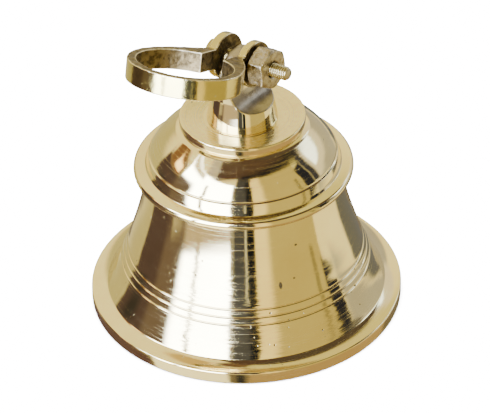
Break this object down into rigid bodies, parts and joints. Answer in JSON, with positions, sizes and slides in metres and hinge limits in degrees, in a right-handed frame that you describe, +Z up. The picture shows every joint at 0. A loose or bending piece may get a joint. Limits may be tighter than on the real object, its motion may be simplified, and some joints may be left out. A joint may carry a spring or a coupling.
{
  "type": "hand-polished temple bell",
  "caption": "Wide-mouthed polished brass bell with a domed crown, a scalloped knob, a bolted swinging shackle to hang it by and a ball clapper on a link.",
  "frame": {"origin": "centre of the mouth, on the plane of the lip's rest face", "axes": "+Z up along the bell's axis, +X along the shackle's bolt towards its nut, -Y towards the shackle's loop"},
  "size_m": [0.15, 0.15, 0.1562],
  "materials": {
    "polished_brass": "mirror polished, with fine turning lines and small casting pits",
    "cast_brass": "cast and roughly buffed",
    "nut_brass": "rough cast, dull",
    "clapper_brass": "turned, slightly tarnished"
  },
  "bodies": {
    "bell": {"bell_body": "polished_brass", "crown_knob": "polished_brass", "crown_washer": "clapper_brass", "crown_nut": "nut_brass", "clapper_eyebolt": "clapper_brass"},
    "shackle": {"shackle": "cast_brass", "shackle_bolt": "cast_brass", "shackle_nut": "nut_brass"},
    "clapper_link": {"clapper_link": "clapper_brass"},
    "clapper": {"clapper_rod": "clapper_brass", "clapper_ball": "clapper_brass", "clapper_jam_nut": "nut_brass"}
  },
  "joints": [
    {"name": "shackle_swing", "type": "hinge", "parent": "bell", "child": "shackle", "pos_m": [0, 0, 0.1319], "axis": [0.9962, 0, 0.0872], "range_deg": [-198, 53]},
    {"name": "link_swing", "type": "hinge", "parent": "bell", "child": "clapper_link", "pos_m": [0, 0, 0.0756], "axis": [0, 1, 0], "range_deg": [-12, 12]},
    {"name": "clapper_swing", "type": "hinge", "parent": "clapper_link", "child": "clapper", "pos_m": [0, 0, 0.0663], "axis": [1, 0, 0], "range_deg": [-40.5, 40.5]}
  ]
}
